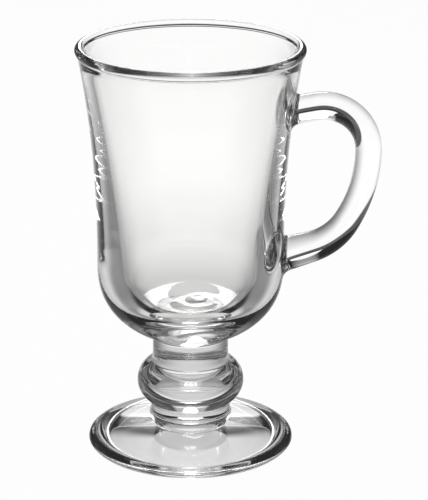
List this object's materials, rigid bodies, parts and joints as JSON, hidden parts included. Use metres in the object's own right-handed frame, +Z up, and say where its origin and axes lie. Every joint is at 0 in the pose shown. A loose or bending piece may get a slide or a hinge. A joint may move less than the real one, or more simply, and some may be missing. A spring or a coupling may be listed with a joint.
{
  "type": "irish coffee glass mug",
  "caption": "Tall clear pressed-glass hot drink mug: flared bowl with a beaded lip, ball stem between collars, round foot and a looped side handle.",
  "frame": {"origin": "centre of the ring on the foot's underside that the mug rests on, on the bowl's axis", "axes": "+Z up along the axis of the bowl, stem and foot; +X towards the handle; the mug is the same on both sides of the XZ plane"},
  "size_m": [0.1027, 0.077, 0.1429],
  "materials": {
    "clear_glass": "fire-polished clear soda-lime glass"
  },
  "bodies": {
    "root": {"bowl": "clear_glass", "upper_collar": "clear_glass", "ball": "clear_glass", "lower_collar": "clear_glass", "foot": "clear_glass", "handle": "clear_glass"}
  },
  "joints": []
}
